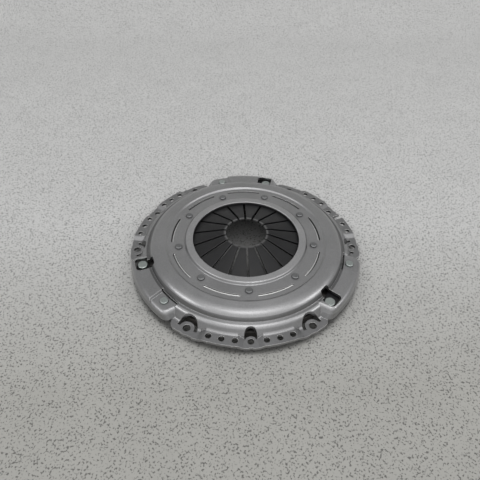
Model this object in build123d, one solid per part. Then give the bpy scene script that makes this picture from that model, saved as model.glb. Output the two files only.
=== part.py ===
# Clutch pressure plate: a pressed steel cover that carries a diaphragm spring on nine rivets,
# and a cast-iron pressure plate that hangs in it on three packs of leaf straps.
#
# Frame: millimetres, +Z along the clutch axis towards the release bearing. The origin is the
# centre of the cover's mounting face, which bolts to the flywheel. Azimuth 0 is +X.
import os
from math import atan2, cos, degrees, hypot, radians, sin, tan

from build123d import *

os.makedirs("parts", exist_ok=True)

# ---------------------------------------------------------------- cover dome, seen from above
# Radii run outwards from the opening and heights upwards from the mounting face, each by a step.
sheet = 3.5                   # thickness of the pressed sheet
opening_r = 64.2
lip_outer_r = opening_r + 8.4
annulus_inner_r = lip_outer_r + 2.0
annulus_outer_r = annulus_inner_r + 20.8
dome_inner_r = annulus_outer_r + 2.2
shoulder_start_r = dome_inner_r + 9.4
shoulder_corner_r = shoulder_start_r + 8.0
crease_r = shoulder_corner_r + 2.8      # where the dome wall meets the shelf round it
shelf_edge_r = crease_r + 6.2           # where the shelf turns down into the flange wall
wall_slope = 55.8             # degrees below level

shelf_edge_z = 12.9
crease_z = shelf_edge_z + 1.8
shoulder_corner_z = crease_z + 6.0
shoulder_start_z = shoulder_corner_z + 2.0
dome_z = shoulder_start_z + 0.8
annulus_z = dome_z - 1.7      # top of the recessed ring that carries the rivets
lip_z = annulus_z + 2.8       # top of the raised lip round the opening

lip_edge_round = 0.8
step_round = 1.5
shoulder_start_round = 25.0
shoulder_round = 11.0
crease_round = 1.5
shelf_edge_round = 6.0
foot_round = 4.5              # bend where the wall meets the flange

# ---------------------------------------------------------------- flange
sectors = 3                   # flange segments, strap pockets and strap packs round the cover
first_dowel_az = -90.0        # the first flange segment is centred on this dowel
bolt_circle_r = shelf_edge_r + 10.0
bolt_offset_az = 30.0         # bolts sit this far each side of a dowel
bolt_hole_r = 4.25            # clearance for M8
dowel_hole_r = 3.5
pad_rim_r = bolt_circle_r + 7.6         # outer edge of the flange at the bolt and dowel pads
flange_half_az = 38.5         # half the angle of one flange segment
flange_tip_r = 9.0            # rounding of the segment's outer corners
web_rim_r = bolt_circle_r + 8.0         # outer edge of the raised webs between the pads
web_rise = 2.9                # the webs stand this far above the pads
web_from_az = 4.5             # middle of the joggle beside the dowel pad
web_to_az = 22.2              # middle of the joggle beside the bolt pad
joggle_run = 6.0              # length of the slope between a pad and a web
joggle_inside_r = 2.5         # inside bend of a joggle
balance_hole_r = 3.3
balance_circle_r = bolt_circle_r + 1.3
balance_offsets_az = (7.0, 13.0, 19.0)
notch_dowel = 1               # the segment whose first balance hole is an open notch
notch_width = 7.0
notch_floor_r = bolt_circle_r - 3.4

# ---------------------------------------------------------------- windows over the bolts
bolt_window_r = 11.8
bolt_tongue_r = 8.3           # the seat left round each bolt hole
dowel_window_r = 6.8
dowel_window_top_r = bolt_circle_r - 5.2    # centre of the round end of the dowel window
dowel_tongue_r = 6.4

# ---------------------------------------------------------------- strap pockets
pocket_az = -30.8             # middle of the first pocket
pocket_half_width = 50.5      # tangential, at the height of the bolt pads
pocket_rim_r = bolt_circle_r + 6.6
pocket_wall_lean = 35.0       # lean of the end walls, degrees from upright
skirt_lean = 10.0             # lean of the outer skirt, degrees from upright
pocket_corner_r = 9.0
pocket_edge_r = 5.5
strap_pad_drop = 2.6          # from the pocket's top down to the pad under the cover rivet
strap_rivet_r = bolt_circle_r - 7.3     # circle of all the strap rivets
cover_rivet_az = -16.8
plate_rivet_az = -45.5
pad_before = 11.0             # from the cover rivet back to the step up to the pocket's top
pad_after = 13.6              # from the cover rivet on to the step up to the shelf
pad_step_lean = 35.0          # lean of those steps, degrees from upright
pad_slot_width = 1.4
pad_slot_inset = 1.2          # from the crease out to the slot
pad_slot_az = (-6.5, 6.0)     # about the cover rivet
window_half_az = (3.2, 5.3)   # each side of the plate rivet
window_outer_r = bolt_circle_r + 1.2
window_inner_r = crease_r - 4.2
window_corner_r = 5.0
lobe_half_az = (1.2, 5.3)
lobe_outer_r = crease_r + 3.2
lobe_corner_r = 2.5

# ---------------------------------------------------------------- diaphragm spring and pivots
spring_thickness = 2.6
fingers = 18
cone_slope = 16.6             # degrees
rivet_circle_r = annulus_inner_r + 7.4
pivot_r = rivet_circle_r + 6.2          # fulcrum circle
pivot_mid_z = annulus_z - 9.8           # middle of the spring's thickness at the fulcrum
ridge_r = pivot_r + 14.8                # the spring's rim presses on the plate's ridge here
spring_rim_r = ridge_r + 3.0
tip_r = 24.4
tip_bend_r = tip_r + 3.6      # inside this the finger ends flatten
tip_slope = 6.0               # degrees
tip_curl_r = 12.0             # bend of the finger ends
spring_edge_r = 0.8
slit_width = 2.6
keyhole_width = 8.6
keyhole_inner_r = rivet_circle_r - 6.4
keyhole_outer_r = rivet_circle_r + 4.2
bead_r = 2.2                  # round underside of the pressed fulcrum beads
bead_half_az = 13.0
bead_groove_width = 3.0
bead_groove_depth = 1.8
pivot_gap = 0.1               # between the spring and what it pivots on
wire_r = 2.0                  # lower fulcrum ring
fulcrum_rivets = 9
rivet_shank_r = 2.8
rivet_head_r = 4.1
rivet_head_height = 2.0
rivet_foot_r = 6.6
rivet_foot_height = 2.0

# ---------------------------------------------------------------- pressure plate and straps
plate_rim_r = ridge_r + 18.0
plate_bore_r = ridge_r - 26.0
friction_z = -9.0
plate_top_z = 1.0
ridge_round_r = 2.5
ridge_flank = 35.0            # lean of the ridge's sides, degrees from upright
ridge_gap = 0.3
ridge_vents = 9
ridge_vent_width = 10.0
plate_edge_r = 1.0
leaf_count = 3
leaf_thickness = 0.9
leaf_width = 15.0
lug_half_width = 8.0
lug_root_r = plate_rim_r - 9.0
lug_depth = 8.9
strap_shank_r = 3.0
strap_shank_gap = 0.1
cover_rivet_head_r = 4.7
cover_rivet_head_height = 2.0
cover_rivet_foot_r = 4.5
cover_rivet_foot_height = 2.0
plate_rivet_head_r = 6.2
plate_rivet_head_height = 2.9
plate_rivet_foot_r = 5.0
plate_rivet_foot_height = 2.0

# ---------------------------------------------------------------- sizes that follow
beyond = 40.0                 # how far cutters run past the metal
web_z = sheet + web_rise
pocket_z = crease_z
strap_pad_z = pocket_z - strap_pad_drop
strap_top_z = strap_pad_z - sheet
lug_z = strap_top_z - leaf_count * leaf_thickness
strap_shift_az = (cover_rivet_az - plate_rivet_az) / 2
strap_span = 2 * strap_rivet_r * sin(radians(strap_shift_az))


def at(radius, az, z=0.0):
    """The point at a radius and azimuth."""
    return (radius * cos(radians(az)), radius * sin(radians(az)), z)


def az_of(length, radius):
    """The angle, in degrees, that a length takes up on a circle."""
    return degrees(length / radius)


def repeats(count, start=0.0):
    """Azimuths of evenly spaced copies."""
    return [start + k * 360 / count for k in range(count)]


def turned(points, radii=0, start=0.0, arc=360.0):
    """A closed (radius, height) outline, its corners rounded, turned about the clutch axis."""
    face = make_face(FilletPolyline(*points, radius=radii, close=True))
    return Rot(0, 0, start) * revolve(Plane.XZ * face, Axis.Z, arc)


def ring_block(inner, outer, low, high, start, end):
    """A block of ring between two radii, two heights and two azimuths."""
    corners = [(inner, low), (outer, low), (outer, high), (inner, high)]
    return turned(corners, start=start, arc=end - start)


def prism_along(points, az, inner, outer, radii=0):
    """A (tangential, height) outline, its corners rounded, carried outwards along an azimuth."""
    across = Plane(origin=(inner, 0, 0), x_dir=(0, 1, 0), z_dir=(1, 0, 0))
    face = across * make_face(FilletPolyline(*points, radius=radii, close=True))
    return Rot(0, 0, az) * extrude(face, outer - inner)


def mid_radius(edge):
    """Distance of an edge's centre from the clutch axis."""
    return hypot(edge.center().X, edge.center().Y)


def rises(edge):
    """Whether an edge runs up rather than level."""
    return abs(edge.tangent_at(0).Z) > cos(radians(60))


def underside(points, depth):
    """The line that runs a sheet's thickness below a (radius, height) line."""
    shifted = []
    for (r0, z0), (r1, z1) in zip(points, points[1:]):
        length = hypot(r1 - r0, z1 - z0)
        dr, dz = depth * (z1 - z0) / length, -depth * (r1 - r0) / length
        shifted.append(((r0 + dr, z0 + dz), (r1 + dr, z1 + dz)))
    line = [shifted[0][0]]
    for ((ar, az), (br, bz)), ((cr, cz), (dr, dz)) in zip(shifted, shifted[1:]):
        cross = (br - ar) * (dz - cz) - (bz - az) * (dr - cr)
        share = ((cr - ar) * (dz - cz) - (cz - az) * (dr - cr)) / cross
        line.append((ar + share * (br - ar), az + share * (bz - az)))
    return line + [shifted[-1][1]]


def wall_radius(z):
    """Radius of the flange wall's outer face at a height."""
    return shelf_edge_r + (shelf_edge_z - z) / tan(radians(wall_slope))


# ---------------------------------------------------------------- cover
# The cover is the space under its upper surface less the space under its lower surface.
cover_line = [
    (opening_r, lip_z),
    (lip_outer_r, lip_z),
    (annulus_inner_r, annulus_z),
    (annulus_outer_r, annulus_z),
    (dome_inner_r, dome_z),
    (shoulder_start_r, shoulder_start_z),
    (shoulder_corner_r, shoulder_corner_z),
    (crease_r, crease_z),
    (shelf_edge_r, shelf_edge_z),
    (wall_radius(0), 0.0),
]
upper_bends = [step_round] * 4
upper_bends += [shoulder_start_round, shoulder_round, crease_round, shelf_edge_round]


def lower_bend(index):
    """Radius of a bend on the sheet's underside: more in a hollow, less on a ridge."""
    (ar, az), (br, bz), (cr, cz) = cover_line[index - 1: index + 2]
    hollow = (br - ar) * (cz - bz) - (bz - az) * (cr - br) > 0
    radius = upper_bends[index - 1]
    return radius + sheet if hollow else max(radius - sheet, 0)


def dome_over():
    """Everything under the cover's upper surface, without its flange."""
    outline = cover_line + [(opening_r, 0.0)]
    return turned(outline, [lip_edge_round] + upper_bends + [0, 0])


def dome_under():
    """Everything under the sheet of the dome and the flange wall."""
    line = underside(cover_line, sheet)
    bends = [lower_bend(k) for k in range(1, len(cover_line) - 1)]
    last_r = line[-1][0] + (line[-1][1] + beyond) / tan(radians(wall_slope))
    line = line[:-1] + [(last_r, -beyond)]
    outline = [(0.0, line[0][1])] + line + [(0.0, -beyond)]
    return turned(outline, [0, 0] + bends + [0, 0])


def flange_plate(dowel_az):
    """One flange segment, flat, with rounded outer corners."""
    start, end = dowel_az - flange_half_az, dowel_az + flange_half_az
    plate = ring_block(shelf_edge_r - sheet, pad_rim_r, 0, sheet, start, end)
    upright = plate.edges().filter_by(Axis.Z)
    return fillet(upright.sort_by(mid_radius)[-2:], flange_tip_r)


def joggle(az, side, low, high, shift, bends, inner, outer):
    """The rounded slope at one end of a web, with a length of web beyond it."""
    half, flat = joggle_run / 2, joggle_inside_r + sheet
    base = low - sheet
    line = [
        (shift - half - flat, base),
        (shift - half - flat, low),
        (shift - half, low),
        (shift + half, high),
        (shift + half + flat, high),
        (shift + half + flat, base),
    ]
    points = [(side * along, z) for along, z in line]
    return prism_along(points, az, inner, outer, [0, 0, *bends, 0, 0])


def webs(dowel_az, low, high, shift, bends, inner, outer):
    """The two raised webs of one flange segment, their ends moved in by shift."""
    both = []
    reach = shift + (joggle_run + joggle_inside_r + sheet) / 2
    inset_az = az_of(reach, bolt_circle_r)
    for near, far in ((web_from_az, web_to_az), (-web_to_az, -web_from_az)):
        start, end = dowel_az + near, dowel_az + far
        both.append(ring_block(inner, outer, low - sheet, high, start + inset_az, end - inset_az))
        both.append(joggle(start, 1, low, high, shift, bends, inner, outer))
        both.append(joggle(end, -1, low, high, shift, bends, inner, outer))
    return both


def foot_bend(level, start, end):
    """The hollow bend between the flange wall and a flange level."""
    corner_r = wall_radius(level)
    lean = radians(wall_slope)
    up = (corner_r - foot_round * cos(lean), level + foot_round * sin(lean))
    out = (corner_r + foot_round, level)
    base = level - sheet / 2
    outline = [up, (corner_r, level), out, (out[0], base), (up[0] - sheet / 2, base)]
    return turned(outline, [0, foot_round, 0, 0, 0], start, end - start)


def pocket_block(az, inset, top):
    """The raised pocket over a strap pack, or its inside when inset by the sheet."""
    wall, skirt = radians(pocket_wall_lean), radians(skirt_lean)
    half = pocket_half_width - inset / cos(wall) + sheet * tan(wall)
    rim = pocket_rim_r - inset / cos(skirt) + sheet * tan(skirt)
    root = opening_r
    low = -beyond if inset else sheet
    ends = [
        (-half + low * tan(wall), low),
        (-half + top * tan(wall), top),
        (half - top * tan(wall), top),
        (half - low * tan(wall), low),
    ]
    outer = [
        (root, low),
        (rim - low * tan(skirt), low),
        (rim - top * tan(skirt), top),
        (root, top),
    ]
    block = prism_along(ends, az, 0, 2 * rim) & turned(outer)
    upright = [e for e in block.edges() if rises(e) and mid_radius(e) > annulus_outer_r]
    block = fillet(upright, pocket_corner_r - inset)
    brim = [e for e in block.edges().group_by(Axis.Z)[-1] if mid_radius(e) > annulus_inner_r]
    return fillet(brim, pocket_edge_r - inset)


pocket_azs = repeats(sectors, pocket_az)
cover_rivet_azs = repeats(sectors, cover_rivet_az)
plate_rivet_azs = repeats(sectors, plate_rivet_az)
dowel_azs = repeats(sectors, first_dowel_az)
bolt_azs = [dowel + side * bolt_offset_az for dowel in dowel_azs for side in (-1, 1)]


def pad_space(az, level, grow):
    """What the lowered pad of a cover rivet takes from the shelf above it."""
    lean = beyond * tan(radians(pad_step_lean))
    before, after = -pad_before - grow, pad_after + grow
    outline = [
        (before, level),
        (before - lean, level + beyond),
        (after + lean, level + beyond),
        (after, level),
    ]
    return prism_along(outline, az, crease_r, pad_rim_r + beyond)


def pocket(az, rivet_az, inset, grow):
    """A pocket whose end at the cover rivet is lowered to the strap pad."""
    pad_z = strap_pad_z - inset
    lean = beyond * tan(radians(pad_step_lean))
    before = -pad_before - grow
    outline = [
        (before, -beyond),
        (before, pad_z),
        (before - lean, pad_z + beyond),
        (2 * beyond, pad_z + beyond),
        (2 * beyond, -beyond),
    ]
    end = prism_along(outline, rivet_az, 0, pad_rim_r + beyond)
    high = pocket_block(az, inset, pocket_z - inset) - end
    return high + (pocket_block(az, inset, pad_z) & end)


def spring_mid_z(radius):
    """Height of the middle of the spring's thickness."""
    return pivot_mid_z - (radius - pivot_r) * tan(radians(cone_slope))


def off_spring(radius, distance):
    """A point at a distance square to the spring's middle surface, above it or below it."""
    lean = radians(cone_slope)
    return (radius + distance * sin(lean), spring_mid_z(radius) + distance * cos(lean))


bead_centre = off_spring(pivot_r, spring_thickness / 2 + pivot_gap + bead_r)
wire_centre = off_spring(pivot_r, -(spring_thickness / 2 + pivot_gap + wire_r))
rivet_azs = repeats(fulcrum_rivets, first_dowel_az)
bead_azs = repeats(fulcrum_rivets, first_dowel_az + 180 / fulcrum_rivets)


def bead(az, width, low, high, rounding):
    """A bar bent round the clutch axis, with round ends and a rounded lower edge."""
    line = CenterArc((0, 0), bead_centre[0], az - bead_half_az, 2 * bead_half_az)
    bar = extrude(Pos(0, 0, low) * SlotArc(line, width), high - low)
    return fillet(bar.edges().group_by(Axis.Z)[0], rounding)


def bead_groove(az):
    """The groove that a pressed fulcrum bead leaves in the annulus."""
    low = annulus_z - bead_groove_depth
    return bead(az, bead_groove_width, low, annulus_z + beyond, 0.3 * bead_groove_width)


def bead_ridge(az):
    """The rounded ridge that a fulcrum bead raises on the underside of the annulus."""
    low = bead_centre[1] - bead_r
    return bead(az, 2 * bead_r, low, annulus_z, 0.9 * bead_r)


def hole(radius, centre_r, az, low=-beyond, high=beyond):
    """An upright round cutter."""
    cutter = Cylinder(radius, high - low, align=(Align.CENTER, Align.CENTER, Align.MIN))
    return Pos(*at(centre_r, az, low)) * cutter


def inboard_half(radius, centre_r, az):
    """The half of an upright round cutter on the clutch axis's side of its centre."""
    outline = [(-radius, -beyond), (-radius, beyond), (radius, beyond), (radius, -beyond)]
    return hole(radius, centre_r, az) & prism_along(outline, az, 0, centre_r)


def dowel_window(az):
    """The narrow window inboard of a dowel hole."""
    half = dowel_window_r
    outline = [(-half, -beyond), (-half, beyond), (half, beyond), (half, -beyond)]
    straight = prism_along(outline, az, dowel_window_top_r, bolt_circle_r - half / 2)
    return straight + hole(half, dowel_window_top_r, az)


def strap_window(az):
    """The window over a plate rivet, with a lobe that reaches into the dome wall."""
    start, end = az - window_half_az[0], az + window_half_az[1]
    main = ring_block(shelf_edge_r - sheet, window_outer_r, -beyond, beyond, start, end)
    upright = main.edges().filter_by(Axis.Z)
    main = fillet(upright.sort_by(mid_radius)[-2:], window_corner_r)
    start, end = az - lobe_half_az[0], az + lobe_half_az[1]
    lobe = ring_block(window_inner_r, lobe_outer_r, -beyond, beyond, start, end)
    upright = lobe.edges().filter_by(Axis.Z)
    lobe = fillet(upright.sort_by(mid_radius)[:2], lobe_corner_r)
    return main + lobe


def pad_slot(az):
    """The narrow slot that frees a strap pad from the dome wall."""
    middle = crease_r + pad_slot_inset + pad_slot_width / 2
    start, end = (az + turn for turn in pad_slot_az)
    line = CenterArc((0, 0), middle, start, end - start)
    return extrude(Pos(0, 0, -beyond) * SlotArc(line, pad_slot_width), 2 * beyond)


def make_cover():
    """The pressed cover with all its windows and holes."""
    over, under = dome_over(), dome_under()
    joggle_shift = sheet * tan(atan2(web_rise, joggle_run) / 2)
    inside, outside = joggle_inside_r, joggle_inside_r + sheet
    inner_r = shelf_edge_r - sheet
    ramp_az = az_of(joggle_run / 2, bolt_circle_r)
    for dowel in dowel_azs:
        over += flange_plate(dowel)
        over += webs(dowel, sheet, web_z, 0, (inside, outside), inner_r, web_rim_r)
        under += webs(dowel, 0, web_rise, joggle_shift, (outside, inside), inner_r, pad_rim_r + beyond)
        pads = (
            (sheet, -flange_half_az, -web_to_az - ramp_az),
            (web_z, -web_to_az + ramp_az, -web_from_az - ramp_az),
            (web_z, web_from_az + ramp_az, web_to_az - ramp_az),
            (sheet, web_to_az + ramp_az, flange_half_az),
        )
        over += [foot_bend(level, dowel + start, dowel + end) for level, start, end in pads]
    for az, rivet_az in zip(pocket_azs, cover_rivet_azs):
        over += pocket(az, rivet_az, 0, 0)
        over -= pad_space(rivet_az, strap_pad_z, 0)
        under += pocket(az, rivet_az, sheet, sheet / 2)
        under -= pad_space(rivet_az, strap_top_z, sheet / 2)
    for az in bead_azs:
        over -= bead_groove(az)
        under -= bead_ridge(az)
    cover = over - under

    for az in bolt_azs:
        cover -= inboard_half(bolt_window_r, bolt_circle_r, az)
        cover += hole(bolt_tongue_r, bolt_circle_r, az, 0, sheet)
        cover -= hole(bolt_hole_r, bolt_circle_r, az)
    for az in dowel_azs:
        cover -= dowel_window(az)
        cover += hole(dowel_tongue_r, bolt_circle_r, az, 0, sheet)
        cover -= hole(dowel_hole_r, bolt_circle_r, az)
    for index, dowel in enumerate(dowel_azs):
        for side in (-1, 1):
            for step, offset in enumerate(balance_offsets_az):
                az = dowel + side * offset
                if index == notch_dowel and side < 0 and step == 0:
                    half = notch_width / 2
                    outline = [(-half, -beyond), (-half, beyond), (half, beyond), (half, -beyond)]
                    cover -= prism_along(outline, az, notch_floor_r, pad_rim_r + beyond)
                else:
                    cover -= hole(balance_hole_r, balance_circle_r, az)
    for index in range(sectors):
        cover -= strap_window(plate_rivet_azs[index])
        cover -= pad_slot(cover_rivet_azs[index])
        cover -= hole(strap_shank_r, strap_rivet_r, cover_rivet_azs[index])
    for az in rivet_azs:
        cover -= hole(rivet_shank_r, rivet_circle_r, az)
    return cover


# ---------------------------------------------------------------- diaphragm spring
def make_spring():
    """A slit cone of spring steel: a closed rim, and fingers that run in to the bearing."""
    rim, bend = (spring_rim_r, spring_mid_z(spring_rim_r)), (tip_bend_r, spring_mid_z(tip_bend_r))
    tip = (tip_r, bend[1] + (tip_bend_r - tip_r) * tan(radians(tip_slope)))
    half = spring_thickness / 2
    lower = underside([tip, bend, rim], half)
    upper = underside([tip, bend, rim], -half)
    bends = [spring_edge_r / 2, tip_curl_r, spring_edge_r]
    spring = turned(upper + lower[::-1], bends + bends[::-1])
    for az in repeats(fingers, first_dowel_az):
        width = slit_width / 2
        outline = [(-width, -beyond), (-width, 2 * beyond), (width, 2 * beyond), (width, -beyond)]
        spring -= prism_along(outline, az, 0, (keyhole_inner_r + keyhole_outer_r) / 2)
        width = keyhole_width / 2
        outline = [(-width, -beyond), (-width, 2 * beyond), (width, 2 * beyond), (width, -beyond)]
        keyhole = prism_along(outline, az, keyhole_inner_r, keyhole_outer_r)
        spring -= fillet(keyhole.edges().filter_by(Axis.Z), 0.45 * keyhole_width)
    return spring


def make_wire():
    """The round wire ring under the spring, its lower fulcrum."""
    ring = Plane.XZ * (Pos(*wire_centre) * Circle(wire_r))
    return revolve(ring, Axis.Z)


def stepped_rivet(levels, radii, rounding):
    """A rivet turned from its levels, top down, and the radius below each level."""
    points = [(0.0, levels[0])]
    for (high, low), radius in zip(zip(levels, levels[1:]), radii):
        points += [(radius, high), (radius, low)]
    points.append((0.0, levels[-1]))
    face = make_face(Polyline(*points, close=True))
    body = revolve(Plane.XZ * face, Axis.Z)
    top = body.edges().filter_by(GeomType.CIRCLE).sort_by(Axis.Z)[-1]
    return fillet(top, rounding)


def make_fulcrum_rivet(az):
    """A rivet through the cover and a keyhole, whose foot holds the wire ring up."""
    foot_z = wire_centre[1] - wire_r - pivot_gap
    levels = [annulus_z + rivet_head_height, annulus_z, foot_z, foot_z - rivet_foot_height]
    rivet = stepped_rivet(levels, [rivet_head_r, rivet_shank_r, rivet_foot_r], 0.6 * rivet_head_height)
    return Pos(*at(rivet_circle_r, az)) * rivet


# ---------------------------------------------------------------- pressure plate
def lug(az):
    """The ear that carries a strap pack, with the clearance hole of its rivet."""
    end = hole(lug_half_width, strap_rivet_r, az, lug_z - lug_depth, lug_z)
    half = lug_half_width
    low, high = lug_z - lug_depth, lug_z
    outline = [(-half, low), (-half, high), (half, high), (half, low)]
    return end + prism_along(outline, az, lug_root_r, strap_rivet_r)


def make_plate():
    """The cast ring: a flat friction face below, and above it a broken ridge for the spring."""
    crown = off_spring(ridge_r, -(spring_thickness / 2 + ridge_gap + ridge_round_r))
    peak_z = crown[1] + ridge_round_r / sin(radians(ridge_flank))
    foot = (peak_z - plate_top_z) * tan(radians(ridge_flank))
    outline = [
        (plate_bore_r, friction_z),
        (plate_rim_r, friction_z),
        (plate_rim_r, plate_top_z),
        (crown[0] + foot, plate_top_z),
        (crown[0], peak_z),
        (crown[0] - foot, plate_top_z),
        (plate_bore_r, plate_top_z),
    ]
    edge = plate_edge_r
    plate = turned(outline, [edge, edge, edge, edge, ridge_round_r, edge, edge])
    half = ridge_vent_width / 2
    for az in repeats(ridge_vents, first_dowel_az):
        vent = [
            (-half, plate_top_z),
            (-half - edge, peak_z),
            (half + edge, peak_z),
            (half, plate_top_z),
        ]
        plate -= prism_along(vent, az, plate_bore_r, plate_rim_r)
    for az in plate_rivet_azs:
        plate += lug(az)
        plate -= hole(strap_shank_r, strap_rivet_r, az)
    return plate


# ---------------------------------------------------------------- straps and their rivets
def make_leaf(index, level):
    """One flat leaf of a strap pack, from the cover rivet to the plate rivet."""
    low = lug_z + level * leaf_thickness
    ends = [at(strap_rivet_r, az[index]) for az in (cover_rivet_azs, plate_rivet_azs)]
    middle = [(a + b) / 2 for a, b in zip(*ends)]
    turn = degrees(atan2(ends[1][1] - ends[0][1], ends[1][0] - ends[0][0]))
    blank = SlotOverall(strap_span + leaf_width, leaf_width)
    leaf = extrude(Pos(middle[0], middle[1], low) * Rot(0, 0, turn) * blank, leaf_thickness)
    for end, gap in zip(ends, (0, strap_shank_gap)):
        cutter = Cylinder(strap_shank_r + gap, beyond)
        leaf -= Pos(end[0], end[1], low) * cutter
    return leaf


def make_cover_strap_rivet(az):
    """Holds a strap pack up against the cover's pad."""
    levels = [
        strap_pad_z + cover_rivet_head_height,
        strap_pad_z,
        lug_z,
        lug_z - cover_rivet_foot_height,
    ]
    radii = [cover_rivet_head_r, strap_shank_r, cover_rivet_foot_r]
    return Pos(*at(strap_rivet_r, az)) * stepped_rivet(levels, radii, 0.5 * cover_rivet_head_height)


def make_plate_strap_rivet(az):
    """Holds a strap pack down on the pressure plate's lug."""
    foot_z = lug_z - lug_depth
    levels = [
        strap_top_z + plate_rivet_head_height,
        strap_top_z,
        foot_z,
        foot_z - plate_rivet_foot_height,
    ]
    radii = [plate_rivet_head_r, strap_shank_r, plate_rivet_foot_r]
    return Pos(*at(strap_rivet_r, az)) * stepped_rivet(levels, radii, 0.5 * plate_rivet_head_height)


# ---------------------------------------------------------------- all the nodes
nodes = {
    "cover": make_cover(),
    "diaphragm_spring": make_spring(),
    "fulcrum_ring": make_wire(),
    "pressure_plate": make_plate(),
}
for number, az in enumerate(rivet_azs, 1):
    nodes[f"fulcrum_rivet_{number}"] = make_fulcrum_rivet(az)
for index in range(sectors):
    for level in range(leaf_count):
        nodes[f"strap_{index + 1}_leaf_{level + 1}"] = make_leaf(index, level)
    nodes[f"cover_strap_rivet_{index + 1}"] = make_cover_strap_rivet(cover_rivet_azs[index])
    nodes[f"plate_strap_rivet_{index + 1}"] = make_plate_strap_rivet(plate_rivet_azs[index])

for name, shape in nodes.items():
    export_step(shape, f"parts/{name}.step")
    print(name, len(shape.solids()), round(shape.volume), "mm3")
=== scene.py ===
# %% [markdown]
# A clutch pressure plate is a pressed steel cover that holds a diaphragm spring, and a cast-iron
# ring that the spring pushes on. The CAD model already has every rigid piece at its real size.
# This lesson dresses it: it remakes the pieces that bend, and gives each piece the finish that
# its metal has. Everything is in metres, in the CAD model's own frame.

from math import atan2, cos, hypot, radians, sin, tan

import bpy
from mathutils import Matrix, Vector


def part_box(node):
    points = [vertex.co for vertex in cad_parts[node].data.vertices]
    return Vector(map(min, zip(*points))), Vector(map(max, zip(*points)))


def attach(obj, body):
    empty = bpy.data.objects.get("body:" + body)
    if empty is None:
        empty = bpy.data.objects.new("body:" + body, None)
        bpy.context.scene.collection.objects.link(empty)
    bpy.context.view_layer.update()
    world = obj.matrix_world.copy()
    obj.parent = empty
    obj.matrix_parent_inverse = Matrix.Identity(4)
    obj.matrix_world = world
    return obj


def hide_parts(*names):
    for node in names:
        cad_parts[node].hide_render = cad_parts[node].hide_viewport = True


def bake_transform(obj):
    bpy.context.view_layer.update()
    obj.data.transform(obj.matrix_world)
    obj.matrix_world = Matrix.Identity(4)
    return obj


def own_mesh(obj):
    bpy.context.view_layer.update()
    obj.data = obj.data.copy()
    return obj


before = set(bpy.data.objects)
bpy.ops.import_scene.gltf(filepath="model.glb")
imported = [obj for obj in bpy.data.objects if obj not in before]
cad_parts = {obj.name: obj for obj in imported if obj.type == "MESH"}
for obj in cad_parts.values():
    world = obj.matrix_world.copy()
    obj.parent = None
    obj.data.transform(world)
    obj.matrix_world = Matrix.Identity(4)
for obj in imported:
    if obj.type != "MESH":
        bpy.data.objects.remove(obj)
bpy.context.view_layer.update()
MM = 0.001

# %% [markdown]
# The camera comes first, so that each finish can be judged from where the object is seen. It
# stands about half a metre off and looks down at 45 degrees. Its three axes are worked out from
# a heading, a tilt and a small roll, which is how one would note down a tripod's position.

# %% Camera
camera_place = Vector((-24.76, -374.72, 390.7)) * MM
camera_heading = radians(2.684)   # to the right of +Y
camera_tilt = radians(44.811)     # below level
camera_roll = radians(1.235)
camera_lens = 32.33               # mm
camera_sensor = 36                # mm wide

camera_data = bpy.data.cameras.new("camera")
camera_data.lens = camera_lens
camera_data.sensor_width = camera_sensor
camera = bpy.data.objects.new("camera", camera_data)
bpy.context.scene.collection.objects.link(camera)
bpy.context.scene.camera = camera

ahead = Vector((
    sin(camera_heading) * cos(camera_tilt),
    cos(camera_heading) * cos(camera_tilt),
    -sin(camera_tilt),
))
level = Vector((cos(camera_heading), -sin(camera_heading), 0))
right = cos(camera_roll) * level + sin(camera_roll) * level.cross(ahead)
up = right.cross(ahead)
turn = Matrix((right, up, -ahead)).transposed().to_4x4()
camera.matrix_world = Matrix.Translation(camera_place) @ turn
print("camera looks along", [round(v, 3) for v in ahead])

# %% [markdown]
# Everything new is modelled with Blender's own operators, as by hand. They act on whatever is
# selected, so four small helpers clear the selection, name what was just made, pick parts of a
# mesh by their place, and apply an object's place and modifiers at the end.

# %% Helpers for modelling


def deselect():
    """Nothing stays selected, so the next operator acts on new work alone."""
    for obj in bpy.context.selected_objects:
        obj.select_set(False)


def take_new(name):
    """Names the object that an operator has just added."""
    obj = bpy.context.active_object
    obj.name = name
    obj.data.name = name
    return obj


def pick(obj, kind, test):
    """In edit mode, selects the edges or faces whose middle passes a test."""
    bpy.ops.mesh.select_mode(type=kind)
    bpy.ops.mesh.select_all(action="DESELECT")
    bpy.ops.object.mode_set(mode="OBJECT")
    points = [v.co for v in obj.data.vertices]
    if kind == "EDGE":
        for edge in obj.data.edges:
            edge.select = test(sum((points[i] for i in edge.vertices), Vector()) / 2)
    else:
        for face in obj.data.polygons:
            face.select = test(face.center)
    bpy.ops.object.mode_set(mode="EDIT")


def apply_all(obj):
    """Applies an object's place and then its modifiers, in their order."""
    deselect()
    obj.select_set(True)
    bpy.context.view_layer.objects.active = obj
    bpy.ops.object.transform_apply(location=True, rotation=True, scale=True)
    for modifier in list(obj.modifiers):
        bpy.ops.object.modifier_apply(modifier=modifier.name)


# %% [markdown]
# The object lies on a plain pale floor that curves up behind it, as studios have.
# A plane and a raised back edge would show a hard line, so that edge is bevelled into a sweep.

# %% Floor
floor_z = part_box("pressure_plate")[0].z
floor_size = 3.2
floor_back = 0.95                 # how far behind the object the sweep stands
sweep_r = 0.25
sweep_steps = 16
wall_height = 0.9
flat_enough = radians(30)         # shallower angles between faces are shaded smooth

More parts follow.
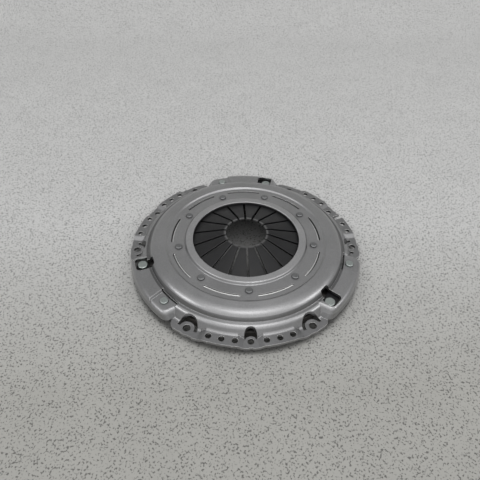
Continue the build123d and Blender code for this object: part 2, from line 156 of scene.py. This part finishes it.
deselect()
floor_middle = (0, floor_back - floor_size / 2, floor_z)
bpy.ops.mesh.primitive_plane_add(size=floor_size, location=floor_middle)
floor = take_new("studio_floor")
bpy.ops.object.transform_apply(location=True, rotation=True, scale=True)
bpy.ops.object.mode_set(mode="EDIT")
pick(floor, "EDGE", lambda p: p.y > floor_back - MM)
bpy.ops.mesh.extrude_region_move(TRANSFORM_OT_translate={"value": (0, 0, wall_height)})
pick(floor, "EDGE", lambda p: p.y > floor_back - MM and p.z < floor_z + MM)
bpy.ops.mesh.bevel(offset=sweep_r, segments=sweep_steps, affect="EDGES")
bpy.ops.object.mode_set(mode="OBJECT")
bpy.ops.object.shade_smooth_by_angle(angle=flat_enough)
print("floor at", round(floor_z, 4), "with", len(floor.data.polygons), "faces")

# %% [markdown]
# Materials are graphs of nodes. One small function adds a node, sets its values and links what
# comes before it, so that each finish below reads from top to bottom. Colours are written as
# hex codes, the way a colour picker shows them, and turned into the linear light that Blender
# works in. Pattern sizes are written in millimetres.

# %% Helpers for materials


def linear(code):
    """A hex colour as Blender's linear red, green, blue and alpha."""
    shares = [int(code[i:i + 2], 16) / 255 for i in (1, 3, 5)]
    return [s / 12.92 if s <= 0.04045 else ((s + 0.055) / 1.055) ** 2.4 for s in shares] + [1.0]


def per_mm(size):
    """The texture scale that makes a feature this many millimetres wide."""
    return 1000 / size


def add(tree, kind, inputs=None, **settings):
    """A node with its settings; each input is given a value, or the socket that feeds it."""
    node = tree.nodes.new("ShaderNode" + kind)
    for name, value in settings.items():
        setattr(node, name, value)
    for key, value in (inputs or {}).items():
        if isinstance(value, bpy.types.NodeSocket):
            tree.links.new(value, node.inputs[key])
        else:
            node.inputs[key].default_value = value
    return node


def span(low, high, start, end):
    """Inputs of a Map Range node: values from low to high become start to end."""
    return {1: low, 2: high, 3: start, 4: end}


def start_material(name):
    """An empty node material with its shader, and its coordinates in metres."""
    material = bpy.data.materials.new(name)
    material.use_nodes = True
    tree = material.node_tree
    place = add(tree, "TexCoord").outputs["Object"]
    return material, tree, tree.nodes["Principled BSDF"], place


NOISE = (0.3, 0.7)                # nearly all of a noise texture's values lie in this range
print("mid grey #808080 is", round(linear("#808080")[0], 3), "in linear light")

# %% [markdown]
# Satin metal mostly shows the room round it, so the room is painted into the world: dim walls
# that rise softly to a ceiling more than twice as bright. A square panel on each side draws the
# two light streaks on the rounded shoulder, and one overhead gives the soft shadow on the floor.
# The places and strengths were found by trial, until the tones of the metal looked right.

# %% Light
wall_level = 0.36                 # strength of the world, low and behind
ceiling_level = 0.90              # and where it is brightest
brightest = (0.0, -0.45, 0.89)    # high up, a little in front
brighter_from = 0.45              # cosine of the angle to it where the walls start to brighten
panels = {                        # name: place in metres, width in metres, power in watts
    "left_panel": ((-1.3, -0.3, 1.35), 0.6, 2.6),
    "right_panel": ((1.35, -0.25, 1.25), 0.6, 2.9),
    "overhead_panel": ((0.1, -0.25, 1.8), 0.8, 3.0),
}

world = bpy.data.worlds.new("studio")
bpy.context.scene.world = world
world.use_nodes = True
sky = world.node_tree
outward = add(sky, "TexCoord").outputs["Generated"]
facing = add(sky, "VectorMath", {0: outward, 1: brightest}, operation="DOT_PRODUCT")
strength = add(
    sky, "MapRange",
    {"Value": facing.outputs["Value"], **span(brighter_from, 1.0, wall_level, ceiling_level)},
    interpolation_type="SMOOTHSTEP",
)
sky.nodes["Background"].inputs["Color"].default_value = (1, 1, 1, 1)
sky.links.new(strength.outputs["Result"], sky.nodes["Background"].inputs["Strength"])


def add_panel(name, place, width, power):
    """A square soft lamp that faces the clutch."""
    data = bpy.data.lights.new(name, "AREA")
    data.size = width
    data.energy = power
    lamp = bpy.data.objects.new(name, data)
    lamp.location = place
    lamp.rotation_euler = (-Vector(place)).to_track_quat("-Z", "Y").to_euler()
    bpy.context.scene.collection.objects.link(lamp)


for name, (place, width, power) in panels.items():
    add_panel(name, place, width, power)
bpy.context.scene.view_settings.view_transform = "Standard"

# %% [markdown]
# The floor is taken for sealed concrete: pale grey, with faint clouds and small dark pores.
# Towards the front it is painted a little darker and warmer, as painted shade where the light
# falls off. Under the clutch lies a dark patch, also painted shade. It shows only in the middle
# and through the holes, and is found from the distance to the clutch axis.

# %% Floor finish


def axis_distance(tree, place):
    """Distance from the clutch axis, in metres."""
    flat = add(tree, "VectorMath", {0: place, 1: (1, 1, 0)}, operation="MULTIPLY")
    return add(
        tree, "VectorMath", {0: flat.outputs["Vector"]}, operation="LENGTH"
    ).outputs["Value"]


cloud_size, pore_size = 60, 1.9            # mm
# The painted shade at the front fades out between these two places along Y.
full_shade_until, no_shade_from = -180 * MM, 60 * MM
# A dark patch of painted shade lies under the clutch, inside these radii.
shade_patch_inside, shade_patch_ends = 137 * MM, 144 * MM
shade_patch_tone = 0.34
concrete_roughness = 0.75

concrete, tree, shader, place = start_material("pale_sealed_concrete")
clouds = add(tree, "TexNoise", {"Vector": place, "Scale": per_mm(cloud_size), "Detail": 4.0})
pores = add(tree, "TexNoise", {"Vector": place, "Scale": per_mm(pore_size), "Detail": 2.0})
back = add(tree, "SeparateXYZ", {"Vector": place}).outputs["Y"]
# Painted shade: the floor is darker towards the front, where the light falls off.
front_shade = add(tree, "MapRange", {"Value": back, **span(full_shade_until, no_shade_from, 0.0, 1.0)})
shaded_floor_tone = add(
    tree, "Mix",
    {0: front_shade.outputs["Result"], 6: linear("#b9b8b3"), 7: linear("#d8d8d7")},
    data_type="RGBA",
)
patch = add(tree, "MapRange", {"Value": clouds.outputs["Fac"], **span(*NOISE, 0.95, 1.0)})
pore = add(tree, "MapRange", {"Value": pores.outputs["Fac"], **span(0.54, 0.66, 1.03, 0.36)})
mottle = add(
    tree, "Math", {0: patch.outputs["Result"], 1: pore.outputs["Result"]}, operation="MULTIPLY"
)
# The painted shade under the clutch, found from the distance to the axis.
shade_patch = add(
    tree, "MapRange",
    {"Value": axis_distance(tree, place), **span(shade_patch_inside, shade_patch_ends, shade_patch_tone, 1.0)},
    interpolation_type="SMOOTHSTEP",
)
mottle = add(
    tree, "Math", {0: mottle.outputs["Value"], 1: shade_patch.outputs["Result"]}, operation="MULTIPLY"
)
tone = add(
    tree, "VectorMath",
    {0: shaded_floor_tone.outputs[2], "Scale": mottle.outputs["Value"]},
    operation="SCALE",
)
tree.links.new(tone.outputs["Vector"], shader.inputs["Base Color"])
shader.inputs["Roughness"].default_value = concrete_roughness
floor.data.materials.append(concrete)
print("floor finish has", len(tree.nodes), "nodes")

# %% [markdown]
# Wear, painted light and painted shade keep to certain places, and nodes can find these from the
# shape itself. Bevel gives the direction that a slightly rounded edge would face, which differs
# from the true one only near an edge. A ring round the clutch is found from the distance to the
# axis and the height.

# %% Helpers that find a place on the surface


def edge_share(tree, radius_mm, low, high):
    """How far a point lies on an outer edge, from 0 on the flat to 1, and the rounded normal."""
    rounded = add(tree, "Bevel", {"Radius": radius_mm * MM}, samples=6).outputs["Normal"]
    true = add(tree, "NewGeometry").outputs["Normal"]
    facing = add(tree, "VectorMath", {0: rounded, 1: true}, operation="DOT_PRODUCT")
    share = add(
        tree, "MapRange", {"Value": facing.outputs["Value"], **span(high, low, 0.0, 1.0)}
    )
    return share.outputs["Result"], rounded


def ring_share(tree, place, radius_mm, half_width_mm, top_mm):
    """1 in a ring of this middle radius and half width, below a height, and 0 elsewhere."""
    out = axis_distance(tree, place)
    beside = add(
        tree, "Math", {0: out, 1: radius_mm * MM, 2: half_width_mm * MM}, operation="COMPARE"
    )
    height = add(tree, "SeparateXYZ", {"Vector": place}).outputs["Z"]
    below = add(tree, "Math", {0: height, 1: top_mm * MM}, operation="LESS_THAN")
    both = {0: beside.outputs["Value"], 1: below.outputs["Value"]}
    return add(tree, "Math", both, operation="MULTIPLY").outputs["Value"]


# %% [markdown]
# The cover is deep-drawn mild steel with a thin phosphate coat: a satin grey that is painted
# darker as shade in the bends, which Ambient Occlusion finds as places that are shut in, and
# brighter on sheared and rubbed edges, as wear and as a painted highlight. Rings of fixed tone
# are laid over that: a lighter lip as a painted highlight, a darker wall below the shoulder,
# crease at its foot and flanges as painted shade, and grooves with a painted bright floor between
# sides in painted shade. Their values were found by trial, for the look, and they stay when the
# light moves. The lip also falls a few degrees outwards, as a slope made with a Bump node.

# %% Finish of the pressed cover and of the rivets
patch_size, grain_size = 38, 0.9           # mm
shade_reach = 3 * MM                        # how near a wall is for a hollow to be painted with shade
grain_height = 0.03 * MM
edge_radius, edge_faint, edge_full = 0.7, 0.97, 0.75   # mm, and two cosines


def make_phosphated_steel(name, dark, light, hollow, bright, rings=(), groove_shade_and_highlight=(), slope=None):
    """Satin phosphated sheet steel, in a dark and a light grey, with hollows in painted shade.

    rings: zones and the factor that their tone is multiplied by, as painted light and shade.
    coined: the zones of the grooves, where light and shade are painted, and their colour. slope:
    the inner and outer radius of a sloping ring, and how far it falls, in mm.
    """
    material, tree, shader, place = start_material(name)
    clouds = add(tree, "TexNoise", {"Vector": place, "Scale": per_mm(patch_size), "Detail": 4.0})
    grain = add(tree, "TexNoise", {"Vector": place, "Scale": per_mm(grain_size), "Detail": 2.0})
    tone = add(
        tree, "Mix",
        {0: clouds.outputs["Fac"], 6: linear(dark), 7: linear(light)},
        data_type="RGBA",
    )
    speckle = add(
        tree, "MapRange", {"Value": grain.outputs["Fac"], **span(*NOISE, 0.86, 1.1)}
    )
    spotted = add(
        tree, "VectorMath",
        {0: tone.outputs[2], "Scale": speckle.outputs["Result"]},
        operation="SCALE",
    )
    # Hollows near walls are darkened as painted shade, found by Ambient Occlusion.
    shut_in = add(tree, "AmbientOcclusion", {"Distance": shade_reach}, samples=6)
    hollow_shade = add(
        tree, "MapRange", {"Value": shut_in.outputs["AO"], **span(0.3, 0.9, 0.85, 0.0)}
    )
    # The rings paint light and shade into the tone: a highlight on the lip, shade on the wall,
    # crease and flanges.
    for zone, factor in rings:
        inside = ring_share(tree, place, *zone)
        toned = add(tree, "MapRange", {"Value": inside, **span(0.0, 1.0, 1.0, factor)})
        spotted = add(
            tree, "VectorMath",
            {0: spotted.outputs["Vector"], "Scale": toned.outputs["Result"]},
            operation="SCALE",
        )
    shaded_hollows = add(
        tree, "Mix",
        {0: hollow_shade.outputs["Result"], 6: spotted.outputs["Vector"], 7: linear(hollow)},
        data_type="RGBA",
    )
    # Edges are made brighter: wear, and a painted highlight.
    share, rounded = edge_share(tree, edge_radius, edge_full, edge_faint)
    wear_and_painted_light = add(
        tree, "Mix",
        {0: share, 6: shaded_hollows.outputs[2], 7: linear(bright)},
        data_type="RGBA",
    )
    # The grooves get painted shade on their sides and a painted highlight on their floor.
    for zone, shade in groove_shade_and_highlight:
        wear_and_painted_light = add(
            tree, "Mix",
            {0: ring_share(tree, place, *zone), 6: wear_and_painted_light.outputs[2], 7: linear(shade)},
            data_type="RGBA",
        )
    tree.links.new(wear_and_painted_light.outputs[2], shader.inputs["Base Color"])
    rough = add(
        tree, "MapRange", {"Value": clouds.outputs["Fac"], **span(*NOISE, 0.28, 0.37)}
    )
    tree.links.new(rough.outputs["Result"], shader.inputs["Roughness"])
    if slope:
        inner, outer, fall = (value * MM for value in slope)
        height = add(
            tree, "MapRange",
            {"Value": axis_distance(tree, place), **span(inner, outer, fall, 0.0)},
        ).outputs["Result"]
        tilt = {"Height": height, "Distance": 1.0, "Strength": 1.0, "Normal": rounded}
        rounded = add(tree, "Bump", tilt).outputs["Normal"]
    skin = add(
        tree, "Bump",
        {
            "Height": grain.outputs["Fac"], "Distance": grain_height, "Strength": 0.3,
            "Normal": rounded,
        },
    )
    tree.links.new(skin.outputs["Normal"], shader.inputs["Normal"])
    shader.inputs["Metallic"].default_value = 1.0
    return material


# In each finish the third colour is the painted shade in hollows, the fourth that of edges, worn
# and painted as a highlight.
phosphated_steel = make_phosphated_steel(
    "phosphated_sheet_steel", "#a8a8a9", "#b9b9ba", "#2c2c2c", "#f0f0ee",
    rings=[                       # ((middle radius, half width, top), factor), sizes in mm
        ((68.5, 4.1, 30.0), 1.25),       # the lip, a painted highlight
        ((116.7, 1.5, 19.9), 0.62),      # the wall below the shoulder, painted shade
        ((119.6, 1.3, 15.5), 0.5),       # the crease at its foot, painted shade
        ((137.0, 8.0, 8.6), 0.78),       # the flanges, painted shade
    ],
    groove_shade_and_highlight=[                      # the bead grooves, with painted shade and highlight
        ((88.2, 2.2, 21.62), "#303031"),     # their sides, painted shade
        ((88.5, 0.75, 20.6), "#f6f6f5"),     # their floor, a painted highlight
    ],
    slope=(64.2, 72.6, 0.6),      # the lip falls outwards
)
cold_headed_steel = make_phosphated_steel(
    "cold_headed_rivet_steel", "#8b8c8d", "#9a9b9c", "#161616", "#d2d2d0"
)
zinc_plated_steel = make_phosphated_steel(
    "zinc_plated_rivet_steel", "#b2bab7", "#c6cdca", "#3a3b3a", "#dde1df"
)
print("steel finishes:", [m.name for m in (phosphated_steel, cold_headed_steel, zinc_plated_steel)])

# %% [markdown]
# The spring is hardened and oil-blackened: nearly black, with a low sheen. Where the release
# bearing rubs, near the ends of its fingers, the black wears down to grey steel. That ring is
# found from the distance to the clutch axis, so it stays at its real radius. The black coat is
# an oxide and no metal, and the bare steel is metal, so Metallic follows the wear.

# %% Finish of the spring, the wire and the straps


blotch_size, scratch_size = 14, 0.7        # mm
most_rubbed = 0.55
never_rubbed = (0.0, 1.0)                  # a ring that none of the other pieces reaches


def make_blackened_steel(name, dark, light, bright, rubbed_from, rubbed_to):
    """Oil-blackened steel, worn bare from one distance from the axis, fading out at another."""
    material, tree, shader, place = start_material(name)
    blotches = add(tree, "TexNoise", {"Vector": place, "Scale": per_mm(blotch_size), "Detail": 5.0})
    tone = add(
        tree, "Mix",
        {0: blotches.outputs["Fac"], 6: linear(dark), 7: linear(light)},
        data_type="RGBA",
    )
    out = axis_distance(tree, place)
    rubbed = add(
        tree, "MapRange",
        {"Value": out, **span(rubbed_to * MM, rubbed_from * MM, 0.0, most_rubbed)},
        interpolation_type="SMOOTHSTEP",
    )
    bare = add(
        tree, "Mix",
        {0: rubbed.outputs["Result"], 6: tone.outputs[2], 7: linear(bright)},
        data_type="RGBA",
    )
    # Edges, such as the spring's slit edges, are made brighter: wear, and a painted highlight.
    share, rounded = edge_share(tree, edge_radius / 2, 0.7, edge_faint)
    wear_and_painted_light = add(
        tree, "Mix",
        {0: share, 6: bare.outputs[2], 7: linear(bright)},
        data_type="RGBA",
    )
    tree.links.new(wear_and_painted_light.outputs[2], shader.inputs["Base Color"])
    metal = add(tree, "Math", {0: share, 1: rubbed.outputs["Result"]}, operation="MAXIMUM")
    tree.links.new(metal.outputs["Value"], shader.inputs["Metallic"])
    fine = add(tree, "TexNoise", {"Vector": place, "Scale": per_mm(scratch_size), "Detail": 2.0})
    rough = add(
        tree, "MapRange", {"Value": blotches.outputs["Fac"], **span(*NOISE, 0.38, 0.52)}
    )
    tree.links.new(rough.outputs["Result"], shader.inputs["Roughness"])
    skin = add(
        tree, "Bump",
        {
            "Height": fine.outputs["Fac"], "Distance": grain_height, "Strength": 0.4,
            "Normal": rounded,
        },
    )
    tree.links.new(skin.outputs["Normal"], shader.inputs["Normal"])
    return material


blackened_steel = make_blackened_steel(
    "oil_blackened_spring_steel", "#131314", "#1d1d1f", "#9a9a9a", 24.4, 28.0
)
drawn_wire = make_blackened_steel(
    "drawn_wire_steel", "#4d4d50", "#5c5c60", "#9a9a9a", *never_rubbed
)
blued_strip = make_blackened_steel(
    "blued_strip_steel", "#161618", "#222226", "#6a6a6c", *never_rubbed
)
print("dark finishes:", [m.name for m in (blackened_steel, drawn_wire, blued_strip)])

# %% [markdown]
# The pressure plate is grey cast iron. Its outside keeps the sandy skin of the mould, and its
# lower face is turned flat, which leaves fine rings round the axis. A wave texture in ring form
# draws them, and the height in the object says where the casting ends and the turning begins.

# %% Finish of the cast ring
sand_size, stain_size, feed = 1.6, 30, 1.2     # mm; the feed is the spacing of turned rings
wave_repeats = 20                              # what the wave texture fits in its unit length
turned_height = 1.2 * MM                       # how far the turned face reaches up the side
cast_iron, tree, shader, place = start_material("grey_cast_iron")
sand = add(tree, "TexNoise", {"Vector": place, "Scale": per_mm(sand_size), "Detail": 4.0})
patches = add(tree, "TexNoise", {"Vector": place, "Scale": per_mm(stain_size), "Detail": 3.0})
casting = add(
    tree, "Mix",
    {0: patches.outputs["Fac"], 6: linear("#565452"), 7: linear("#6c6967")},
    data_type="RGBA",
)
rings = add(
    tree, "TexWave",
    {"Vector": place, "Scale": per_mm(feed) / wave_repeats, "Distortion": 0.4},
    wave_type="RINGS", rings_direction="Z",
)
turned = add(
    tree, "Mix",
    {0: rings.outputs["Fac"], 6: linear("#8d8c8b"), 7: linear("#a3a2a0")},
    data_type="RGBA",
)
height = add(tree, "SeparateXYZ", {"Vector": place}).outputs["Z"]
machined = add(
    tree, "MapRange",
    {"Value": height, **span(floor_z + turned_height, floor_z + MM, 0.0, 1.0)},
).outputs["Result"]
surface = add(
    tree, "Mix",
    {0: machined, 6: casting.outputs[2], 7: turned.outputs[2]},
    data_type="RGBA",
)
tree.links.new(surface.outputs[2], shader.inputs["Base Color"])
rough = add(tree, "MapRange", {"Value": machined, **span(0.0, 1.0, 0.62, 0.38)})
tree.links.new(rough.outputs["Result"], shader.inputs["Roughness"])
relief = add(tree, "Mix", {0: machined, 2: sand.outputs["Fac"], 3: rings.outputs["Fac"]})
skin = add(tree, "Bump", {"Height": relief.outputs[0], "Distance": 0.12 * MM, "Strength": 0.4})
tree.links.new(skin.outputs["Normal"], shader.inputs["Normal"])
shader.inputs["Metallic"].default_value = 0.85

print("cast iron finish has", len(tree.nodes), "nodes")

# %% [markdown]
# The rigid pieces keep the CAD model's own meshes, because their shapes are right. Only their
# material slots are filled. Pieces that come in numbers share one finish, so a piece is looked
# up by its name, and then by its name without the number.

# %% Hand the finishes to the solids
finishes = {
    "cover": phosphated_steel,
    "fulcrum_ring": drawn_wire,
    "fulcrum_rivet": cold_headed_steel,
    "cover_strap_rivet": zinc_plated_steel,
    "plate_strap_rivet": zinc_plated_steel,
    "pressure_plate": cast_iron,
}
for name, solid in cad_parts.items():
    finish = finishes.get(name) or finishes.get(name.rsplit("_", 1)[0])
    if finish:
        solid.data.materials.clear()
        solid.data.materials.append(finish)
print("dressed:", sum(1 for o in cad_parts.values() if o.data.materials))

# %% [markdown]
# The diaphragm spring is a shallow cone, blanked from one sheet: a closed rim outside, and
# eighteen fingers inside, parted by slits that end in wider keyholes. It flexes in use, so it is
# remade here as one mesh that can flatten. A circle is drawn in ring by ring along the cone's
# profile, straight cuts mark the slits, the strips between the cuts are deleted, and two
# modifiers give the sheet its thickness and its broken edges.

# %% Spring: sizes
spring_thickness = 2.6 * MM
cone_slope = radians(16.6)
pivot_r, pivot_z = 88.2 * MM, 12.0 * MM
tip_bend_r = 28.0 * MM            # inside this the finger ends flatten
tip_slope = radians(6.0)
spring_radii = [106, 100, 94, 88.2, 86.2, 81, 75.6, 68, 60, 52, 44, 37, 32, 28.6, 27.2, 24.4]
finger_count = 18
first_slit = radians(-90)
slit_half = 1.3 * MM
keyhole_half = 4.3 * MM
keyhole_from, keyhole_to = 75.6 * MM, 86.2 * MM
cut_margin = 8 * MM               # the keyholes' cuts start this far inside them
far_off = 1.0                     # metres: further from a slit than any point
ring_points = 144
broken_edge = 0.35 * MM
sharp_angle = radians(50)         # edges sharper than this are broken
smooth_angle = radians(35)


def cone_height(radius):
    """Height of the middle of the spring's thickness: a cone whose finger ends flatten."""
    rise = (pivot_r - max(radius, tip_bend_r)) * tan(cone_slope)
    return pivot_z + rise + max(tip_bend_r - radius, 0.0) * tan(tip_slope)


def off_slit(point, azimuth):
    """Sideways distance from a slit's middle line, for a point on that slit's side."""
    along = point.x * cos(azimuth) + point.y * sin(azimuth)
    across = abs(point.y * cos(azimuth) - point.x * sin(azimuth))
    return across if along > 0 else far_off


slit_azimuths = [first_slit + radians(360 / finger_count) * k for k in range(finger_count)]
print("a slit every", 360 / finger_count, "degrees, the rim", round(cone_height(0.106), 4), "m up")

# %% [markdown]
# First the cone, as a skin with no thickness. One circle is the rim, and each extrude and
# resize draws the next ring inwards, at the height that the profile gives.

# %% Spring: rings along the cone
deselect()
outer = spring_radii[0] * MM
bpy.ops.mesh.primitive_circle_add(
    vertices=ring_points, radius=outer, fill_type="NOTHING", location=(0, 0, cone_height(outer))
)
spring = take_new("flexing_diaphragm_spring")
bpy.ops.object.transform_apply(location=True, rotation=True, scale=True)
bpy.ops.object.mode_set(mode="EDIT")
bpy.ops.mesh.select_all(action="SELECT")
for before, after in zip(spring_radii, spring_radii[1:]):
    rise = cone_height(after * MM) - cone_height(before * MM)
    share = after / before
    bpy.ops.mesh.extrude_region_move(TRANSFORM_OT_translate={"value": (0, 0, rise)})
    bpy.ops.transform.resize(value=(share, share, 1), center_override=(0, 0, 0))
print("skin of the cone:", len(spring_radii), "rings")

# %% [markdown]
# Then the slits. Two parallel cuts mark the sides of each slit and of the one opposite, and two
# wider ones mark their keyholes. The strips between the cuts are deleted, as the press would
# punch them out.

# %% Spring: slits and keyholes
for azimuth in slit_azimuths[:finger_count // 2]:
    aside = Vector((-sin(azimuth), cos(azimuth), 0))
    for side in (-1, 1):
        bpy.ops.mesh.select_all(action="SELECT")
        bpy.ops.mesh.bisect(plane_co=aside * slit_half * side, plane_no=aside)
        pick(spring, "FACE", lambda p: hypot(p.x, p.y) > keyhole_from - cut_margin)
        bpy.ops.mesh.bisect(plane_co=aside * keyhole_half * side, plane_no=aside)


def in_slit(point):
    """True where a finger's slit or its keyhole is punched out."""
    out, across = hypot(point.x, point.y), min(off_slit(point, a) for a in slit_azimuths)
    in_keyhole = keyhole_from < out < keyhole_to and across < keyhole_half
    return in_keyhole or (out < keyhole_from and across < slit_half)


pick(spring, "FACE", in_slit)
bpy.ops.mesh.delete(type="FACE")
bpy.ops.mesh.select_all(action="SELECT")
bpy.ops.mesh.remove_doubles(threshold=0.01 * MM)
bpy.ops.mesh.normals_make_consistent(inside=False)
bpy.ops.object.mode_set(mode="OBJECT")
print("slit skin:", len(spring.data.polygons), "faces")

# %% [markdown]
# Last, the sheet's thickness, evenly to both sides, and its edges, tumbled until they are
# slightly round. The spring rides on the cover. In use it squashes about its fulcrum as the
# plate lifts: its rim rises and its fingers' ends go down.

# %% Spring: thickness, edges and the body it rides on
thick = spring.modifiers.new("sheet", "SOLIDIFY")
thick.thickness = spring_thickness
thick.offset = 0
thick.use_even_offset = True
broken = spring.modifiers.new("broken_edges", "BEVEL")
broken.width = broken_edge
broken.segments = 2
broken.limit_method = "ANGLE"
broken.angle_limit = sharp_angle
apply_all(spring)
bpy.ops.object.shade_smooth_by_angle(angle=smooth_angle)
spring.data.materials.append(blackened_steel)
spring_top = max(v.co.z for v in spring.data.vertices)
print("spring:", len(spring.data.polygons), "faces, top", round(spring_top, 4))
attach(spring, "cover_assembly")
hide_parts("diaphragm_spring")
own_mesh(spring)

# %% [markdown]
# Three packs of flat leaves tie the pressure plate to the cover. They carry its torque and bend
# as it lifts. Each leaf is a strip with round ends and a hole at each end. One box is stretched
# between two rivets, its upright corners are bevelled until the ends are round, cross cuts let
# it bend, and a cylinder at each end is taken away with a Boolean modifier.

# %% Strap leaves: sizes and one leaf
leaf_width = 15.0 * MM
leaf_hole_r = 3.05 * MM
leaf_cuts = 14
leaf_edge = 0.12 * MM
leaf_end_steps = 14
leaf_end_flat = 0.02 * MM         # left between two rounded corners, so that they never meet
hole_sides = 40


def middle_of(node):
    """Centre of a solid's box."""
    low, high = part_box(node)
    return (low + high) / 2


def is_upright_corner(point, length, thickness):
    """True for the middle of an upright edge of a box round the origin."""
    at_end = abs(abs(point.x) - length / 2) < MM
    return at_end and abs(point.z) < thickness / 4 and abs(point.y) > MM


def make_leaf(name, node, near, far):
    """A leaf from one rivet's centre to the other's, at the height of the solid it replaces."""
    low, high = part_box(node)
    thickness = high.z - low.z
    run = Vector((far.x - near.x, far.y - near.y, 0))
    length = run.length + leaf_width
    deselect()
    bpy.ops.mesh.primitive_cube_add(size=1, location=(0, 0, 0))
    leaf = take_new(name)
    leaf.scale = (length, leaf_width, thickness)
    bpy.ops.object.transform_apply(location=True, rotation=True, scale=True)
    bpy.ops.object.mode_set(mode="EDIT")
    pick(leaf, "EDGE", lambda p: is_upright_corner(p, length, thickness))
    round_end = leaf_width / 2 - leaf_end_flat
    bpy.ops.mesh.bevel(offset=round_end, segments=leaf_end_steps, affect="EDGES")
    for k in range(1, leaf_cuts):
        bpy.ops.mesh.select_all(action="SELECT")
        across = (k / leaf_cuts - 0.5) * run.length
        bpy.ops.mesh.bisect(plane_co=(across, 0, 0), plane_no=(1, 0, 0))
    bpy.ops.object.mode_set(mode="OBJECT")
    punches = []
    for side in (-1, 1):
        deselect()
        bpy.ops.mesh.primitive_cylinder_add(
            vertices=hole_sides, radius=leaf_hole_r, depth=4 * thickness,
            location=(side * run.length / 2, 0, 0),
        )
        punches.append(take_new("punch"))
        cut = leaf.modifiers.new("rivet_hole", "BOOLEAN")
        cut.operation = "DIFFERENCE"
        cut.object = punches[-1]
    broken = leaf.modifiers.new("broken_edges", "BEVEL")
    broken.width = leaf_edge
    broken.segments = 2
    broken.limit_method = "ANGLE"
    broken.angle_limit = sharp_angle
    leaf.location = ((near.x + far.x) / 2, (near.y + far.y) / 2, (low.z + high.z) / 2)
    leaf.rotation_euler = (0, 0, atan2(run.y, run.x))
    for punch in punches:
        punch.parent = leaf
    apply_all(leaf)
    for punch in punches:
        bpy.data.objects.remove(punch)
    bpy.ops.object.shade_smooth_by_angle(angle=smooth_angle)
    leaf.data.materials.append(blued_strip)
    return leaf


print("leaves are", round(leaf_width / MM, 1), "mm wide")

# %% [markdown]
# Each leaf runs from its cover rivet to its plate rivet, at the height of the solid that it
# stands for. In use one end follows the cover and the other the plate, and the leaf bends between.

# %% Strap leaves: three packs of three
for pack in (1, 2, 3):
    cover_end = middle_of(f"cover_strap_rivet_{pack}")
    plate_end = middle_of(f"plate_strap_rivet_{pack}")
    for number in (1, 2, 3):
        node = f"strap_{pack}_leaf_{number}"
        leaf = make_leaf(f"flexing_{node}", node, cover_end, plate_end)
        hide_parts(node)
        level = middle_of(node).z
        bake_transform(leaf)
    print("strap pack", pack, "has leaves of", len(leaf.data.polygons), "faces")
